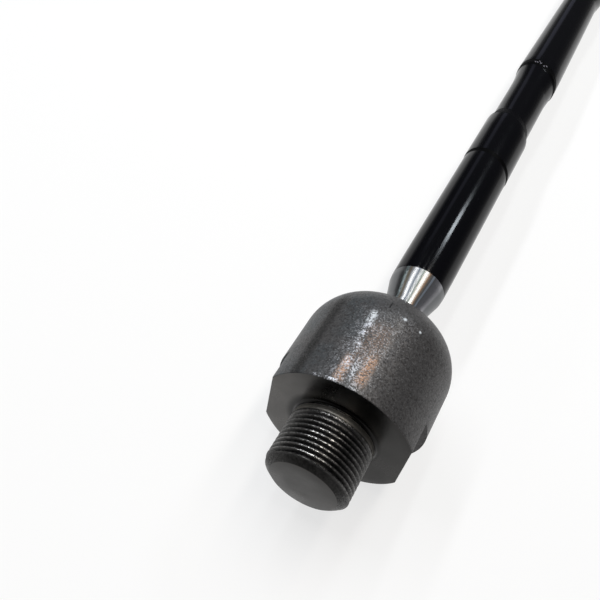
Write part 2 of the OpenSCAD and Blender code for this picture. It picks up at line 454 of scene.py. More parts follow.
@dataclass(frozen=True)
class MachinedFinish(Finish):
    """Turned and phosphated face: warm dark grey with fine rings, with painted shade round the stud's root, over one
    side and on the stud's end.
    """

    ring_spacing: float = 0.00022
    root_r: tuple[float, float] = (12.7, 15.4)
    end_x: tuple[float, float] = (-6.0, -12.0)
    # strength of the painted shade
    painted_shade: float = 1.0

    def build(self, effects: Effects) -> bpy.types.Material:
        """Builds the turned face's material."""
        material, graph, shader = self.open()
        place = graph.place()
        polar = graph.effect(effects.polar, Place=place)
        lines = graph.effect(effects.turning, Across=polar.outputs["Radius"], Spacing=self.ring_spacing)
        smudge = graph.effect(effects.smudge, Place=place, Scale=120.0)
        tone = graph.mix(lines.outputs["Tone"], tuple(0.78 * c for c in self.colour) + (1.0,), tuple(1.2 * c for c in self.colour) + (1.0,))
        tone = graph.mix(graph.math("MULTIPLY", smudge.outputs["Patch"], 0.35), tone, tuple(0.7 * c for c in self.colour) + (1.0,))
        tone = graph.mix(graph.math("MULTIPLY", smudge.outputs["Speck"], 0.5), tone, tuple(2.4 * c for c in self.colour) + (1.0,))
        # painted shade: the face darkened round the stud's root, where the stud and its shadow would be mirrored, over
        # one side and on the stud's end
        tone = graph.mix(self._painted_shade_mask(graph, polar), tone, tuple(0.1 * c for c in self.colour) + (1.0,))
        graph.feed(shader.inputs["Base Color"], tone)
        rough = graph.math("ADD", self.rough, graph.math("MULTIPLY", smudge.outputs["Patch"], 0.1))
        graph.feed(shader.inputs["Roughness"], rough)
        self.bump(graph, shader, lines.outputs["Height"], 0.000008, 0.6)
        return material

    def _painted_shade_mask(self, graph: Graph, polar: bpy.types.Node) -> bpy.types.NodeSocket:
        """Masks the painted shade and dark reflection: full round the stud's root, thin over one side of the seat face
        and on the stud's end.
        """
        end = graph.spread(polar.outputs["Along"], self.end_x[0] * MM, self.end_x[1] * MM)
        root = graph.spread(polar.outputs["Radius"], self.root_r[1] * MM, self.root_r[0] * MM)
        side = graph.spread(polar.outputs["Angle"], math.radians(60.0), math.radians(5.0), 0.05, 0.82)
        face = graph.math("MULTIPLY", graph.math("MAXIMUM", root, side), graph.math("SUBTRACT", 1.0, end))
        return graph.math("MULTIPLY", graph.math("ADD", face, graph.math("MULTIPLY", end, 0.6), clamp=True), self.painted_shade)


@dataclass(frozen=True)
class ThreadFinish(Finish):
    """Rolled thread, told apart by radius: crests in the thread's colour, with painted shade darkening flanks and roots
    and painted glints on the crests along the top.
    """

    crest_r: float = 12 * MM
    depth: float = 0.92 * MM
    # painted shade in the thread's roots
    root: tuple[float, float, float] = (0.006, 0.006, 0.007)
    lead: tuple[float, float, float] = (0.014, 0.0135, 0.013)
    grain_scale: float = 3800.0
    lead_ends: tuple[float, float] = (-16.5, -17.0)
    glint_deg: tuple[float, float] = (2.0, 34.0)
    glint_ends: tuple[float, float] = (-30.0, 12.0)
    lean: float = 0.26

    def build(self, effects: Effects) -> bpy.types.Material:
        """Builds the thread's material."""
        material, graph, shader = self.open()
        place = graph.place()
        polar = graph.effect(effects.polar, Place=place)
        normal = graph.uneven_normal(place, 700.0, 0.00002)
        grain = graph.effect(effects.grain, Place=place, Scale=self.grain_scale, Lean=self.lean, Normal=normal)
        smudge = graph.effect(effects.smudge, Place=place, Scale=150.0)
        crest = graph.spread(polar.outputs["Radius"], self.crest_r - 0.34 * self.depth, self.crest_r - 0.02 * self.depth)
        flank = graph.spread(polar.outputs["Radius"], self.crest_r - 0.95 * self.depth, self.crest_r - 0.2 * self.depth)
        # painted shade: flanks and roots darker than the crests
        tone = graph.mix(flank, (*self.root, 1.0), tuple(0.4 * c for c in self.colour) + (1.0,))
        tone = graph.mix(crest, tone, (*self.colour, 1.0))
        dulled = graph.spread(graph.noise(place, 1500.0, 3.0, 0.65), 0.44, 0.58, 0.0, 0.8)
        tone = graph.mix(dulled, tone, tuple(0.3 * c for c in self.colour) + (1.0,))
        # painted glints: bright crest grains in a zone along the top
        glint = graph.math("MULTIPLY", crest, graph.spread(grain.outputs["Tone"], 0.6, 0.8))
        glint = graph.math("MULTIPLY", glint, graph.streak(polar, self.glint_deg, self.glint_ends, 1.0))
        tone = graph.mix(glint, tone, tuple(5.0 * c for c in self.colour) + (1.0,))
        lead = graph.spread(polar.outputs["Along"], self.lead_ends[0] * MM, self.lead_ends[1] * MM)
        tone = graph.mix(lead, tone, (*self.lead, 1.0))
        tone = graph.mix(graph.math("MULTIPLY", smudge.outputs["Patch"], 0.3), tone, tuple(0.4 * c for c in self.colour) + (1.0,))
        graph.feed(shader.inputs["Base Color"], tone)
        rough = graph.math("ADD", self.rough, graph.math("MULTIPLY", smudge.outputs["Patch"], 0.1))
        graph.feed(shader.inputs["Roughness"], rough)
        graph.feed(shader.inputs["Normal"], grain.outputs["Normal"])
        return material


@dataclass(frozen=True)
class ReflectionStripe:
    """A soft stripe of colour along the axis, a painted reflection: its middle and half width, from +Z towards +Y."""

    middle_deg: float
    half_deg: float
    colour: tuple[float, float, float]
    weight: float = 0.8


@dataclass(frozen=True)
class BrightFinish(Finish):
    """Bare turned steel: fine lines round the axis; where stripes are given, painted shade on the sides and painted
    reflections in stripes along it.
    """

    line_spacing: float = 0.00012
    # colour of the painted shade on the neck's sides
    painted_side_shade: tuple[float, float, float] = (0.12, 0.125, 0.13)
    unshaded_deg: tuple[float, float] = (22.0, 40.0)
    reflection_ends: tuple[float, float] = (30.0, 70.0)
    reflection_stripes: tuple[ReflectionStripe, ...] = ()

    def build(self, effects: Effects) -> bpy.types.Material:
        """Builds the bare steel's material."""
        material, graph, shader = self.open()
        place = graph.place()
        polar = graph.effect(effects.polar, Place=place)
        lines = graph.effect(effects.turning, Across=polar.outputs["Along"], Spacing=self.line_spacing)
        tone = graph.mix(lines.outputs["Tone"], tuple(0.86 * c for c in self.colour) + (1.0,), (*self.colour, 1.0))
        if self.reflection_stripes:
            # painted shade: the neck darker on its sides, away from the top
            away = graph.math("ABSOLUTE", polar.outputs["Angle"])
            shaded_sides = graph.spread(away, math.radians(self.unshaded_deg[0]), math.radians(self.unshaded_deg[1]))
            tone = graph.mix(graph.math("MULTIPLY", shaded_sides, 0.85), tone, (*self.painted_side_shade, 1.0))
        # painted reflections: stripes of lamp and floor light along the neck
        for tint in self.reflection_stripes:
            stripe = graph.streak(polar, (tint.middle_deg, tint.half_deg), self.reflection_ends, tint.weight)
            tone = graph.mix(stripe, tone, (*tint.colour, 1.0))
        graph.feed(shader.inputs["Base Color"], tone)
        rough = graph.math("ADD", self.rough, graph.math("MULTIPLY", lines.outputs["Tone"], 0.06))
        graph.feed(shader.inputs["Roughness"], rough)
        self.bump(graph, shader, lines.outputs["Height"], 0.000004, 0.5)
        tangent = graph.node("Tangent", direction_type="RADIAL", axis="X")
        graph.feed(shader.inputs["Tangent"], tangent.outputs[0])
        shader.inputs["Anisotropic"].default_value = 0.6
        shader.inputs["Anisotropic Rotation"].default_value = 0.25
        return material


@dataclass(frozen=True)
class PaintFinish(Finish):
    """Black paint with a faint orange peel, dust and a few light chips at the stop that are also painted burr glints.
    """

    gloss: float = 0.09
    chip_and_glint: tuple[float, float, float] = (0.26, 0.25, 0.29)

    def build(self, effects: Effects) -> bpy.types.Material:
        """Builds the paint's material."""
        material, graph, shader = self.open()
        place = graph.place()
        smudge = graph.effect(effects.smudge, Place=place, Scale=70.0)
        tone = graph.mix(smudge.outputs["Speck"], (*self.colour, 1.0), (0.01, 0.01, 0.012, 1.0))
        ragged = graph.spread(graph.noise(place, 2600.0, 3.0, 0.6), 0.42, 0.56)
        # light spots at the stop: paint chips and painted burr glints
        tone = graph.mix(graph.math("MULTIPLY", graph.flecks(place, PAINT_CHIPS_AND_GLINTS), ragged), tone, (*self.chip_and_glint, 1.0))
        graph.feed(shader.inputs["Base Color"], tone)
        rough = graph.math("ADD", self.rough, graph.math("MULTIPLY", smudge.outputs["Patch"], 0.03))
        graph.feed(shader.inputs["Roughness"], rough)
        shader.inputs["Specular IOR Level"].default_value = self.gloss
        self.bump(graph, shader, graph.noise(place, 500.0, 2.0, 0.5), 0.00001, 0.3)
        return material


@dataclass(frozen=True)
class ResinFinish(Finish):
    """Moulded bearing resin, slightly mottled."""

    def build(self, effects: Effects) -> bpy.types.Material:
        """Builds the resin's material."""
        material, graph, shader = self.open()
        place = graph.place()
        smudge = graph.effect(effects.smudge, Place=place, Scale=180.0)
        tone = graph.mix(graph.math("MULTIPLY", smudge.outputs["Patch"], 0.5), (*self.colour, 1.0), tuple(0.8 * c for c in self.colour) + (1.0,))
        graph.feed(shader.inputs["Base Color"], tone)
        self.bump(graph, shader, graph.noise(place, 2500.0, 2.0, 0.5), 0.00001, 0.4)
        return material


# Angles, ends and weight of the painted dark reflection down the housing's left side.
PAINTED_DARK_REFLECTION_STREAK = ((41.5, 7.0), (-8.0, 36.0), 1.0)

# Where single grains turn bare and bright: wear, placed where the lamps' glints fall, so partly painted glint.
BARE_AND_GLINT_ZONE = ((5.0, 22.0), (-14.0, 30.0), 0.42)

# Streaks of bare grains at the lamps' mirror angles, the last along the base's edge: painted glints as well as wear.
BARE_AND_GLINT_STREAKS = (
    ((11.0, 4.5), (1.0, 28.0), 1.0),
    ((9.0, 5.0), (-6.0, 12.0), 0.7),
    ((-2.0, 5.0), (-6.0, 18.0), 0.6),
    ((4.0, 4.0), (0.5, 14.0), 0.75),
    ((17.0, 15.0), (-0.4, 1.2), 1.0),
)

# Angles, ends and weight of the painted highlight patch at the top of the glint streak.
PAINTED_HIGHLIGHT_PATCH = ((11.6, 3.8), (20.2, 25.8), 1.0)

# Angles, ends and weight of the warm copper tint beside the glints.
COPPER_TINT_STREAKS = (
    ((10.5, 5.5), (-0.5, 10.5), 0.75),
    ((-3.0, 6.0), (0.5, 13.5), 0.75),
    ((2.0, 13.0), (5.0, 24.0), 0.26),
)

# Centre and radius of the two painted highlight spots on the dome, where lamps are mirrored.
PAINTED_DOME_HIGHLIGHTS = (
    ((26.9, -3.3, 21.8), 0.75),
    ((26.3, -8.2, 20.5), 0.55),
)

# Centre and radius of the chips at the stop, which are also painted burr glints.
PAINT_CHIPS_AND_GLINTS = (
    ((188.6, 3.5, 8.2), 0.6),
    ((189.3, 2.0, 8.7), 0.55),
    ((187.9, 1.2, 8.8), 0.7),
    ((186.7, -0.5, 8.9), 0.55),
    ((187.4, -1.5, 8.8), 0.6),
    ((188.2, 2.6, 8.5), 0.5),
)

# Painted reflections on the neck: stripes where lamps and the floor would be mirrored.
NECK_PAINTED_REFLECTIONS = (
    ReflectionStripe(34.0, 4.0, (0.22, 0.27, 0.27)),
    ReflectionStripe(26.0, 4.0, (0.24, 0.2, 0.14)),
    ReflectionStripe(9.0, 3.0, (0.16, 0.18, 0.21)),
    ReflectionStripe(-1.0, 2.5, (0.15, 0.18, 0.16)),
    ReflectionStripe(-15.0, 4.0, (0.3, 0.2, 0.13)),
    ReflectionStripe(-40.0, 20.0, (0.5, 0.5, 0.53), 1.0),
    ReflectionStripe(-24.5, 3.6, (0.75, 0.86, 1.0)),
)


class MaterialShelf:
    """Holds one material for each finish, built when the shelf is made."""

    def __init__(self) -> None:
        """Builds all materials."""
        effects = Effects()
        finishes = (
            ForgedFinish(Skin.FORGED, (0.06, 0.0575, 0.058), 0.5, 0.48),
            MachinedFinish(Skin.MACHINED, (0.088, 0.084, 0.08), 0.9, 0.26),
            ThreadFinish(Skin.THREAD, (0.13, 0.127, 0.124), 0.95, 0.34),
            BrightFinish(Skin.BRIGHT, (0.26, 0.26, 0.26), 1.0, 0.3, reflection_stripes=NECK_PAINTED_REFLECTIONS),
            PaintFinish(Skin.PAINT, (0.002, 0.0021, 0.003), 0.0, 0.12),
            PaintFinish(Skin.DULL_PAINT, (0.002, 0.0021, 0.003), 0.0, 0.42, gloss=0.015),
            # slightly darker than the paint, besides being dull: painted shade along the die steps
            PaintFinish(Skin.DIE_LINE, (0.0012, 0.0012, 0.0014), 0.0, 0.5, gloss=0.02),
            MachinedFinish(Skin.EDGE, (0.3, 0.285, 0.26), 0.95, 0.36, painted_shade=0.0),
            ThreadFinish(Skin.PHOSPHATE, (0.1, 0.1, 0.105), 0.85, 0.4, crest_r=9 * MM),
            ResinFinish(Skin.RESIN, (0.78, 0.74, 0.62), 0.0, 0.45),
            BrightFinish(Skin.SPRING, (0.5, 0.5, 0.51), 1.0, 0.3),
        )
        self.materials = {finish.skin: finish.build(effects) for finish in finishes}

    def dress(self, piece: bpy.types.Object, skins: list[Skin]) -> None:
        """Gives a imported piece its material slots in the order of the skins."""
        piece.data.materials.clear()
        self.fill(piece.data, skins)

    def fill(self, mesh: bpy.types.Mesh, skins: list[Skin]) -> None:
        """Adds the skins' materials to a mesh."""
        for skin in skins:
            mesh.materials.append(self.materials[skin])


@dataclass(frozen=True)
class ThreadForm:
    """A metric thread: its pitch and major radius in millimetres."""

    pitch: float
    major_r: float
    crest_flat: float = 0.16
    root_flat: float = 0.2

    @property
    def depth(self) -> float:
        """Depth of the thread from crest to root."""
        return 0.6134 * self.pitch

    def stations(self) -> list[tuple[float, float]]:
        """Phase within a pitch and share of the depth, for the points of one thread."""
        crest, root = self.crest_flat / 2, 0.5 - self.root_flat / 2
        return [
            (-crest, 0.0),
            (crest, 0.0),
            (crest + 0.03, 0.07),
            (root, 0.93),
            (root + 0.04, 0.985),
            (0.5, 1.0),
            (1 - root - 0.04, 0.985),
            (1 - root, 0.93),
            (1 - crest - 0.03, 0.07),
        ]


@dataclass
class TurnedMesh:
    """Collects rings round the X axis, in millimetres, and joins them into one closed mesh.

    Angles run from +Z towards -Y, so that a thread whose places grow with the angle is right-handed.
    """

    angles: np.ndarray
    points: list[np.ndarray] = field(default_factory=list)
    faces: list[np.ndarray] = field(default_factory=list)
    face_skins: list[np.ndarray] = field(default_factory=list)
    skins: list[Skin] = field(default_factory=list)
    count: int = 0

    def _add(self, xs: np.ndarray, rs: np.ndarray, quads: np.ndarray, skin: Skin) -> None:
        """Stores a patch of ring points and its quads."""
        if skin not in self.skins:
            self.skins.append(skin)
        ys, zs = -rs * np.sin(self.angles), rs * np.cos(self.angles)
        self.points.append(np.stack([xs, ys, zs], axis=-1).reshape(-1, 3))
        self.faces.append(quads + self.count)
        self.face_skins.append(np.full(len(quads), self.skins.index(skin)))
        self.count += xs.size

    def rings(self, xs: list, rs: list, skin: Skin) -> None:
        """Adds a strip of rings.

        Args:
            xs: Place of each ring along the axis, a number or one for each angle.
            rs: Radius of each ring, a number or one for each angle.
            skin: Finish of the strip.
        """
        steps = len(self.angles)
        x_grid = np.array([np.broadcast_to(x, steps) for x in xs], dtype=float)
        r_grid = np.array([np.broadcast_to(r, steps) for r in rs], dtype=float)
        row, column = np.meshgrid(np.arange(len(xs) - 1), np.arange(steps), indexing="ij")
        following = (column + 1) % steps
        quads = np.stack(
            [row * steps + column, row * steps + following, (row + 1) * steps + following, (row + 1) * steps + column],
            axis=-1,
        ).reshape(-1, 4)
        self._add(x_grid, r_grid, quads, skin)

    def outline(self, points: list[tuple[float, float]], skin: Skin) -> None:
        """Adds a strip along an outline of axis places and radii."""
        self.rings([p[0] for p in points], [p[1] for p in points], skin)

    def thread(self, form: ThreadForm, start: float, end: float, lead: tuple[float, float], fade: tuple[float, float], skin: Skin) -> None:
        """Adds a helical thread between two plain rings.

        Args:
            form: The thread's section.
            start: Place of the first ring.
            end: Place of the last ring.
            lead: Length of the chamfer and its radius, at the start when positive and at the end when negative.
            fade: Length over which the thread dies out before the start and before the end.
            skin: Finish of the thread.
        """
        steps = len(self.angles)
        stations = form.stations()
        per_pitch = len(stations)
        turns = int(math.ceil((end - start) / form.pitch)) + 2
        phase = np.array([turn + p for turn in range(-1, turns) for p, _ in stations])
        share = np.array([d for _ in range(-1, turns) for _, d in stations])
        helix = self.angles / FULL_TURN
        raw = start + (phase[:, None] + helix[None, :]) * form.pitch
        xs = np.clip(raw, start, end)
        live = np.ones_like(xs)
        if fade[0] > 0:
            live *= np.clip((xs - start) / fade[0], 0, 1)
        if fade[1] > 0:
            live *= np.clip((end - xs) / fade[1], 0, 1)
        rs = form.major_r - form.depth * share[:, None] * live
        length, chamfer_r = lead
        if length > 0:
            rs = np.minimum(rs, chamfer_r + (xs - start) * (form.major_r - chamfer_r) / length)
        if length < 0:
            rs = np.minimum(rs, chamfer_r + (end - xs) * (form.major_r - chamfer_r) / -length)
        last = len(phase) - 1
        row, column = np.meshgrid(np.arange(last), np.arange(steps), indexing="ij")
        wraps = column == steps - 1
        following = (column + 1) % steps
        near = np.minimum(row + np.where(wraps, per_pitch, 0), last)
        far = np.minimum(row + 1 + np.where(wraps, per_pitch, 0), last)
        quads = np.stack(
            [row * steps + column, near * steps + following, far * steps + following, (row + 1) * steps + column],
            axis=-1,
        ).reshape(-1, 4)
        self._add(xs, rs, quads, skin)

    def build(self, name: str, shelf: MaterialShelf, sharp_deg: float = 32.0) -> bpy.types.Object:
        """Joins the strips into one object.

        Args:
            name: Name of the piece.
            shelf: The materials.
            sharp_deg: Edges that bend more than this stay sharp.

        Returns:
            The new object.
        """
        mesh = bpy.data.meshes.new(name)
        points = np.concatenate(self.points) * MM
        faces = np.concatenate(self.faces)
        mesh.from_pydata(points.tolist(), [], faces.tolist())
        shelf.fill(mesh, self.skins)
        mesh.polygons.foreach_set("material_index", np.concatenate(self.face_skins).astype(np.int32))
        form = bmesh.new()
        form.from_mesh(mesh)
        bmesh.ops.remove_doubles(form, verts=form.verts, dist=0.0005 * MM)
        bmesh.ops.dissolve_degenerate(form, dist=0.0002 * MM, edges=form.edges)
        bmesh.ops.recalc_face_normals(form, faces=form.faces)
        open_edges = sum(1 for edge in form.edges if len(edge.link_faces) != 2)
        form.to_mesh(mesh)
        form.free()
        mesh.shade_smooth()
        mesh.set_sharp_from_angle(angle=math.radians(sharp_deg))
        piece = bpy.data.objects.new(name, mesh)
        bpy.context.scene.collection.objects.link(piece)
        log.info("%s: %d faces, %d open edges", name, len(mesh.polygons), open_edges)
        return piece


def arc(centre: tuple[float, float], radius: float, start_deg: float, end_deg: float, steps: int) -> list[tuple[float, float]]:
    """Points of an arc in an outline.

    Args:
        centre: Axis place and radius of the arc's centre.
        radius: The arc's own radius.
        start_deg: First angle, 0 along the axis and 90 outward.
        end_deg: Last angle.
        steps: Number of stretches.

    Returns:
        The points as axis place and radius.
    """
    turns = np.radians(np.linspace(start_deg, end_deg, steps + 1))
    return [(centre[0] + radius * math.cos(a), centre[1] + radius * math.sin(a)) for a in turns]


def ease(share: np.ndarray) -> np.ndarray:
    """Smooth step from 0 to 1."""
    return share * share * (3 - 2 * share)


@dataclass
class SocketHousing:
    """The forged socket with its rack stud, in millimetres from the seat face."""

    ball_x: float
    stud_thread: ThreadForm = ThreadForm(1.5, 12.0)
    stud_face_r: float = 9.6
    stud_chamfer: float = 1.6
    thread_end: float = -2.6
    thread_fade: float = 1.9
    root_fillet: float = 0.9
    wrench_half: float = 20.0
    wrench_len: float = 9.6
    ledge_fillet: float = 0.4
    face_chamfer: float = 0.2
    edge_break: float = 0.1
    dome_start: float = 2.0
    lip_edge: float = 1.0
    bore_r: float = 17.0
    floor_x: float = 8.6
    segments: int = 320

    def __post_init__(self) -> None:
        """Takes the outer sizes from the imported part."""
        low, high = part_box("socket_housing")
        self.stud_end = low[0] / MM
        self.outer_r = high[2] / MM
        self.mouth_x = high[0] / MM
        self.mouth_r = math.sqrt(self.bore_r**2 - (self.mouth_x - self.ball_x) ** 2)

    def _angles(self) -> np.ndarray:
        """Angles round the axis, with extra ones at the corners of the wrench flats."""
        corner = math.acos(self.wrench_half / self.outer_r)
        evenly = np.linspace(0, FULL_TURN, self.segments, endpoint=False)
        corners = [side + way * corner for side in (math.pi / 2, 3 * math.pi / 2) for way in (-1, 1)]
        near = [c + nudge for c in corners for nudge in (-0.006, 0.0, 0.006)]
        kept = [a for a in evenly if min(abs(a - c) for c in corners) > 0.014]
        return np.array(sorted(kept + near))

    def _flat(self, angles: np.ndarray, inset: float = 0.0) -> np.ndarray:
        """Radius of the base's outline at each angle, with the two flats cut."""
        across = np.maximum(np.abs(np.sin(angles)), 1e-6)
        return np.minimum(self.outer_r, (self.wrench_half - inset) / across)

    def build(self, shelf: MaterialShelf) -> bpy.types.Object:
        """Builds the housing's mesh."""
        mesh = TurnedMesh(self._angles())
        self._stud(mesh)
        self._base(mesh)
        self._dome(mesh)
        self._bore(mesh)
        piece = mesh.build("socket_forging", shelf)
        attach(piece, "socket")
        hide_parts("socket_housing")
        return piece

    def _stud(self, mesh: TurnedMesh) -> None:
        """Adds the end face, the thread, the relief and the root fillet."""
        end = self.stud_end
        thread_start = end + 0.03
        flat_r = self.stud_face_r - self.edge_break
        mesh.outline([(end, 0), (end, flat_r / 2), (end, flat_r), (thread_start, self.stud_face_r)], Skin.MACHINED)
        lead = (self.stud_chamfer, self.stud_face_r)
        mesh.thread(self.stud_thread, thread_start, self.thread_end, lead, (0.0, self.thread_fade), Skin.THREAD)
        top, fillet = self.stud_thread.major_r, self.root_fillet
        ring = [(self.thread_end, top), (-2.5, top - 0.04), (-2.3, top - 0.01), (-1.95, top), (-1.6, top - 0.03), (-1.25, top - 0.09), (-fillet, top - 0.14)]
        mesh.outline(ring, Skin.EDGE)
        low = top - 0.14
        mesh.outline(arc((-fillet, low + fillet), fillet, -90, 0, 12) + [(0.0, top + fillet)], Skin.MACHINED)

    def _base(self, mesh: TurnedMesh) -> None:
        """Adds the seat face, the wrench flats and the shoulder behind them."""
        angles = mesh.angles
        full = np.full_like(angles, self.outer_r)
        flat = self._flat(angles)
        inner = self.stud_thread.major_r + self.root_fillet
        edge = flat - self.face_chamfer
        mesh.rings([0.0] * 5, [inner + (edge - inner) * t for t in (0, 0.25, 0.5, 0.75, 1.0)], Skin.MACHINED)
        rounding = np.radians(np.linspace(0, 90, 6))
        places = [self.face_chamfer * (1 - math.cos(a)) for a in rounding]
        mesh.rings(places, [edge + self.face_chamfer * math.sin(a) for a in rounding], Skin.FORGED)
        turns = np.radians([0, 30, 60, 90])
        ledge = [np.minimum(flat + self.ledge_fillet * (1 - math.cos(a)), full) for a in turns]
        places = [self.wrench_len - self.ledge_fillet * (1 - math.sin(a)) for a in turns]
        steps = [self.face_chamfer] + [self.wrench_len * t for t in (0.3, 0.6, 0.9)] + places
        mesh.rings(steps, [flat] * 4 + ledge, Skin.FORGED)
        mesh.rings([self.wrench_len] * 2 + [self.wrench_len + self.edge_break], [ledge[-1], full - 0.02, full], Skin.FORGED)

    def _dome(self, mesh: TurnedMesh) -> None:
        """Adds the cylinder, the rolled dome and the lip."""
        dome_x = self.ball_x - self.dome_start
        drop = self.outer_r - self.mouth_r - self.lip_edge
        length = self.mouth_x - dome_x
        dome_r = (length**2 + drop**2) / (2 * drop)
        sweep = math.degrees(math.asin(length / dome_r))
        start = self.wrench_len + self.edge_break
        mesh.outline([(start + (dome_x - start) * t, self.outer_r) for t in np.linspace(0, 1, 12)], Skin.FORGED)
        lip = self.lip_edge / 2
        outline = arc((dome_x, self.outer_r - dome_r), dome_r, 90, 90 - sweep, 40)
        mesh.outline(outline, Skin.FORGED)
        mesh.outline([(self.mouth_x, self.mouth_r + self.lip_edge), (self.mouth_x, self.mouth_r + lip), (self.mouth_x, self.mouth_r)], Skin.FORGED)

    def _bore(self, mesh: TurnedMesh) -> None:
        """Adds the inside: the lip's sphere, the cylinder and the floor."""
        reach = math.degrees(math.acos((self.mouth_x - self.ball_x) / self.bore_r))
        mesh.outline(arc((self.ball_x, 0), self.bore_r, reach, 90, 16), Skin.MACHINED)
        mesh.outline([(self.ball_x, self.bore_r), (self.floor_x, self.bore_r), (self.floor_x, self.bore_r / 2), (self.floor_x, 0)], Skin.MACHINED)


@dataclass
class BallRod:
    """The ball-ended rod, in millimetres along the axis from the ball's centre."""

    ball_x: float
    ball_r: float = 14.25
    neck_r: float = 6.4
    neck_len: float = 20.5
    cone_end: float = 28.5
    cone_r: float = 8.5
    paint_edge: float = 30.6
    shoulder_end: float = 33.8
    shank_r: float = 8.85
    collar_line: float = 94.65
    collar_r: float = 9.0
    collar_end: float = 119.6
    seat_start: float = 123.8
    seat_r: float = 7.9
    seat_end: float = 150.4
    stop_foot: float = 157.2
    stop_start: float = 159.8
    stop_r: float = 8.9
    die_slant: float = 3.4
    line_half: float = 1.0
    taper_end: float = 233.0
    taper_r: float = 7.75
    flare_end: float = 250.0
    end_chamfer: float = 1.6
    adjust_thread: ThreadForm = ThreadForm(1.5, 9.0)
    segments: int = 160

    def __post_init__(self) -> None:
        """Takes the rod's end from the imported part."""
        self.rod_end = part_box("ball_rod")[1][0] / MM - self.ball_x

    def build(self, shelf: MaterialShelf) -> bpy.types.Object:
        """Builds the rod's mesh."""
        mesh = TurnedMesh(np.linspace(0, FULL_TURN, self.segments, endpoint=False))
        self._ball_and_neck(mesh)
        self._shank(mesh)
        self._adjusting_end(mesh)
        piece = mesh.build("ball_rod_forging", shelf, 24.0)
        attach(piece, "rod")
        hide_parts("ball_rod")
        return piece

    def _strip(self, mesh: TurnedMesh, points: list[tuple[float, float]], skin: Skin) -> None:
        """Adds a strip whose places are counted from the ball's centre."""
        mesh.outline([(self.ball_x + x, r) for x, r in points], skin)

    def _shoulder(self, share: float) -> float:
        """Radius of the rounded shoulder at a share of its length."""
        return self.cone_r + (self.shank_r - self.cone_r) * math.sin(math.pi / 2 * share)

    def _ball_and_neck(self, mesh: TurnedMesh) -> None:
        """Adds the ball, the neck and the cone, up to the paint's edge."""
        leave = math.degrees(math.asin(self.neck_r / self.ball_r))
        self._strip(mesh, arc((0, 0), self.ball_r, 180, leave, 60), Skin.BRIGHT)
        neck_start = self.ball_r * math.cos(math.radians(leave))
        cone = [(self.neck_len + (self.cone_end - self.neck_len) * t, self.neck_r + (self.cone_r - self.neck_r) * t) for t in np.linspace(0, 1, 7)]
        self._strip(mesh, [(neck_start, self.neck_r), (neck_start + 4, self.neck_r)] + cone, Skin.BRIGHT)
        length = self.shoulder_end - self.cone_end
        edge = (self.paint_edge - self.cone_end) / length
        self._strip(mesh, [(self.cone_end + length * t, self._shoulder(t)) for t in np.linspace(0, edge, 6)], Skin.BRIGHT)

    def _shank(self, mesh: TurnedMesh) -> None:
        """Adds the painted rod up to the adjusting thread."""
        edge_r = self._shoulder((self.paint_edge - self.cone_end) / (self.shoulder_end - self.cone_end))
        points = [
            (self.paint_edge, edge_r),
            (self.paint_edge + 0.5, edge_r + 0.035),
            (self.paint_edge + 1.2, edge_r + 0.05),
            (self.paint_edge + 9, self.shank_r),
            (self.collar_line - 8, self.shank_r),
        ]
        self._strip(mesh, points, Skin.PAINT)
        self._die_steps(mesh)
        points = [(self.stop_start + 8, self.stop_r), (self.taper_end, self.taper_r)]
        flare = np.linspace(0, 1, 17)[1:]
        rise = self.adjust_thread.major_r - self.taper_r
        points += [(self.taper_end + (self.flare_end - self.taper_end) * t, self.taper_r + rise * ease(t)) for t in flare]
        self._strip(mesh, points, Skin.PAINT)

    def _slanted(self, mesh: TurnedMesh, stations: list[tuple[float, float, float]], skin: Skin) -> None:
        """Adds a strip whose rings lie aslant by a share of the dies' slant, given after place and radius."""
        shift = -self.die_slant * np.sin(mesh.angles)
        mesh.rings([self.ball_x + x + share * shift for x, _, share in stations], [r for _, r, _ in stations], skin)

    def _die_steps(self, mesh: TurnedMesh) -> None:
        """Adds the collar, the boot's seat and the stop, whose steps lie aslant as forging leaves them."""
        line, half, low = self.collar_line, self.line_half, 0.05
        start = (line - half, self.shank_r, 0.6)
        top = (line + half, self.collar_r, 0.6)
        self._slanted(mesh, [(line - 8, self.shank_r, 0.0), (line - 4, self.shank_r, 0.3), start], Skin.PAINT)
        self._slanted(mesh, [start, (line - 0.3 * half, self.shank_r - low, 0.6), (line + 0.5 * half, self.collar_r - low, 0.6), top], Skin.DIE_LINE)
        foot_r = self.seat_r + 0.55 * (self.stop_r - self.seat_r)
        bevel = [
            (self.collar_end - 0.3, self.collar_r, 1.0),
            (self.collar_end + 0.3, self.collar_r - 0.08, 1.0),
            (self.seat_start - 0.4, self.seat_r + 0.06, 1.0),
            (self.seat_start + 0.4, self.seat_r, 1.0),
        ]
        rise = [
            (self.seat_end, self.seat_r + 0.04, 1.0),
            (self.stop_foot, foot_r, 1.0),
            (self.stop_foot + 1.3, foot_r + 0.1, 1.0),
        ]
        crest = [(self.stop_start - 0.2, self.stop_r - low, 1.0), (self.stop_start + 0.4, self.stop_r, 1.0)]
        groove = [(crest[-1][0] + half, self.stop_r - 2 * low, 1.0), (crest[-1][0] + 2 * half, self.stop_r, 1.0)]
        collar_mid = [(line + 8, self.collar_r, 0.0), (self.collar_end - 6, self.collar_r, 0.0)]
        seat_mid = [(self.seat_start + 8, self.seat_r, 0.0), (self.seat_end - 4, self.seat_r, 0.0)]
        self._slanted(mesh, [top, (line + half + 0.3, self.collar_r, 0.6), *collar_mid, bevel[0]], Skin.PAINT)
        self._slanted(mesh, bevel, Skin.DULL_PAINT)
        self._slanted(mesh, [bevel[-1], *seat_mid, *rise], Skin.PAINT)
        self._slanted(mesh, [rise[-1], *crest, *groove], Skin.DIE_LINE)
        self._slanted(mesh, [groove[-1], (self.stop_start + 8, self.stop_r, 0.0)], Skin.PAINT)

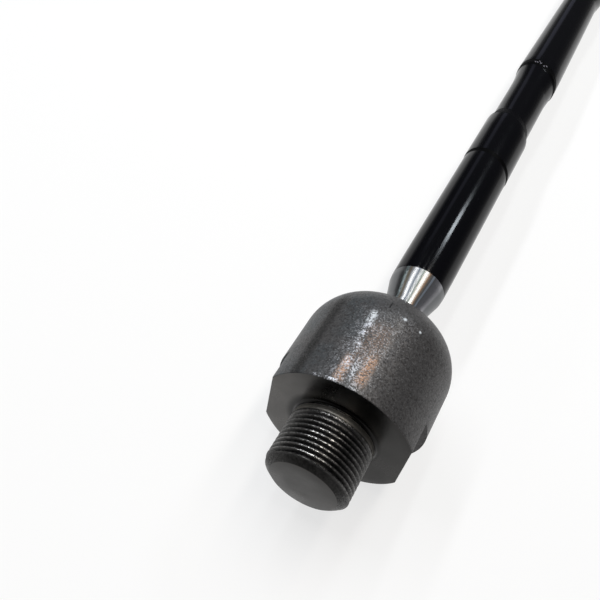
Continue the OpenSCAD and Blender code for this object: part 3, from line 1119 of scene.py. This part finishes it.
    def _adjusting_end(self, mesh: TurnedMesh) -> None:
        """Adds the adjusting thread and the end face."""
        form = self.adjust_thread
        face_r = form.major_r - self.end_chamfer
        start = self.ball_x + self.flare_end
        end = self.ball_x + self.rod_end
        mesh.thread(form, start, end, (-self.end_chamfer, face_r), (3.0, 0.0), Skin.PHOSPHATE)
        mesh.outline([(end, face_r), (end, face_r / 2), (end, 0)], Skin.PHOSPHATE)


@dataclass
class InnerPieces:
    """The resin seats and the disc spring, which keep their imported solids."""

    looks: dict[str, Skin] = field(
        default_factory=lambda: {
            "rear_ball_seat": Skin.RESIN,
            "front_ball_seat": Skin.RESIN,
            "preload_spring": Skin.SPRING,
        }
    )

    def dress(self, shelf: MaterialShelf) -> None:
        """Gives each inner piece its material."""
        for node, skin in self.looks.items():
            shelf.dress(frame["nodes"][node], [skin])
            log.info("%s: packed solid, %s", node, skin.value)


@dataclass(frozen=True)
class Lamp:
    """A rectangular soft lamp: its place, its size along and across, its power and its colour."""

    name: str
    place: tuple[float, float, float]
    size: tuple[float, float]
    power: float
    colour: tuple[float, float, float] = (1.0, 1.0, 1.0)
    target: tuple[float, float, float] = (0.03, 0.0, 0.0)

    def build(self) -> None:
        """Adds the lamp, with its first size lying in the plane of the rod's axis."""
        data = bpy.data.lights.new(self.name, "AREA")
        data.shape = "RECTANGLE"
        data.size, data.size_y = self.size
        data.energy = self.power
        data.color = self.colour
        lamp = bpy.data.objects.new(self.name, data)
        bpy.context.scene.collection.objects.link(lamp)
        place = Vector(self.place)
        beam = (place - Vector(self.target)).normalized()
        across = beam.cross(Vector((1.0, 0.0, 0.0))).normalized()
        along = across.cross(beam)
        lamp.matrix_world = Matrix((
            (along.x, across.x, beam.x, place.x),
            (along.y, across.y, beam.y, place.y),
            (along.z, across.z, beam.z, place.z),
            (0.0, 0.0, 0.0, 1.0),
        ))


@dataclass
class Studio:
    """The floor, the world, the lamps and the camera."""

    lamps: tuple[Lamp, ...] = (
        Lamp("ceiling_strip_left", (0.27, 0.56, 0.9), (1.05, 0.07), 5.0, (0.93, 0.96, 1.0)),
        Lamp("ceiling_strip_middle", (0.27, 0.18, 0.95), (1.0, 0.07), 2.6, (0.95, 0.99, 1.0)),
        Lamp("ceiling_strip_right", (0.27, -0.162, 0.95), (1.0, 0.11), 4.9, (1.0, 0.93, 0.84)),
        Lamp("side_strip", (0.27, 1.3, 0.75), (1.0, 0.1), 1.6, (0.93, 0.98, 1.0)),
        Lamp("bench_strip", (0.468, -0.065, 0.372), (0.03, 0.085), 0.5, (0.85, 0.93, 1.0)),
        Lamp("far_strip", (0.87, 0.37, 0.335), (0.5, 0.15), 0.11, (0.72, 0.75, 1.0)),
    )
    horizon: tuple[float, float, float] = (0.03, 0.03, 0.03)
    wall: tuple[float, float, float] = (0.22, 0.22, 0.225)
    ceiling: tuple[float, float, float] = (0.12, 0.122, 0.128)
    haze: tuple[float, float, float] = (0.4, 0.4, 0.4)
    floor_colour: tuple[float, float, float] = (0.86, 0.86, 0.86)
    floor_half: float = 6.0
    camera_place: tuple[float, float, float] = (-0.0913, -0.0141, 0.1692)
    camera_turn_deg: tuple[float, float, float] = (37.2, -7.33, -61.64)
    camera_lens: float = 43.15

    def build(self) -> None:
        """Builds the whole studio."""
        self._floor()
        self._world()
        self._lamps()
        self._camera()

    def _floor(self) -> None:
        """Adds a plain pale floor at the part's lowest point."""
        bottom = PACKED_BOX[0][2]
        half = self.floor_half
        mesh = bpy.data.meshes.new("floor")
        corners = [(-half, -half, bottom), (half, -half, bottom), (half, half, bottom), (-half, half, bottom)]
        mesh.from_pydata(corners, [], [(0, 1, 2, 3)])
        floor = bpy.data.objects.new("floor", mesh)
        bpy.context.scene.collection.objects.link(floor)
        material = bpy.data.materials.new("pale_floor")
        material.use_nodes = True
        graph = Graph(material.node_tree)
        shader = material.node_tree.nodes["Principled BSDF"]
        shader.inputs["Base Color"].default_value = (*self.floor_colour, 1.0)
        shader.inputs["Roughness"].default_value = 0.9
        shader.inputs["Specular IOR Level"].default_value = 0.1
        glow = graph.node("Emission")
        glow.inputs["Color"].default_value = (1.0, 1.0, 1.0, 1.0)
        path = graph.node("LightPath")
        seen = graph.math("ADD", path.outputs["Is Camera Ray"], path.outputs["Is Glossy Ray"])
        seen = graph.math("ADD", seen, path.outputs["Is Transmission Ray"], clamp=True)
        blend = graph.node("MixShader")
        graph.feed(blend.inputs[0], graph.math("MULTIPLY", seen, 0.72))
        graph.feed(blend.inputs[1], shader.outputs[0])
        graph.feed(blend.inputs[2], glow.outputs[0])
        graph.feed(material.node_tree.nodes["Material Output"].inputs["Surface"], blend.outputs[0])
        mesh.materials.append(material)
        log.info("floor at %.1f mm", bottom / MM)

    def _world(self) -> None:
        """Makes a dim room, darker towards the horizon, with a paler wall on one side."""
        world = bpy.data.worlds.new("studio_room")
        bpy.context.scene.world = world
        world.use_nodes = True
        graph = Graph(world.node_tree)
        parts = graph.node("SeparateXYZ")
        graph.feed(parts.inputs[0], graph.node("TexCoord").outputs["Generated"])
        facing = graph.math("SUBTRACT", graph.math("MULTIPLY", parts.outputs[0], 0.5), graph.math("MULTIPLY", parts.outputs[1], 0.85))
        beside = graph.spread(facing, -0.15, 0.25)
        below = graph.spread(parts.outputs[2], 0.5, 0.0)
        low = graph.mix(graph.math("MULTIPLY", beside, below), (*self.horizon, 1.0), (*self.wall, 1.0))
        height = graph.spread(parts.outputs[2], 0.1, 0.6)
        room = graph.mix(height, low, (*self.ceiling, 1.0))
        room = graph.mix(graph.spread(parts.outputs[2], 0.16, 0.0), room, (*self.haze, 1.0))
        shade = world.node_tree.nodes["Background"]
        graph.feed(shade.inputs["Color"], room)
        shade.inputs["Strength"].default_value = 1.0

    def _lamps(self) -> None:
        """Adds the lamps."""
        for lamp in self.lamps:
            lamp.build()

    def _camera(self) -> None:
        """Adds the camera where the photograph was taken from."""
        data = bpy.data.cameras.new("photo_camera")
        data.sensor_width = 36.0
        data.lens = self.camera_lens
        data.clip_start = 0.005
        data.clip_end = 50.0
        camera = bpy.data.objects.new("photo_camera", data)
        bpy.context.scene.collection.objects.link(camera)
        camera.location = self.camera_place
        camera.rotation_euler = Euler([math.radians(a) for a in self.camera_turn_deg], "XYZ")
        bpy.context.scene.camera = camera


def main() -> None:
    """Builds the part's looks and the studio."""
    logging.basicConfig(level=logging.INFO, format="%(message)s")
    bpy.context.scene.view_settings.view_transform = "Standard"
    swing = next(joint for joint in frame["joints"] if joint["name"] == "rod_swing")
    ball_x = swing["pos_m"][0] / MM
    shelf = MaterialShelf()
    SocketHousing(ball_x).build(shelf)
    BallRod(ball_x).build(shelf)
    InnerPieces().dress(shelf)
    Studio().build()


if __name__ == "__main__":
    main()
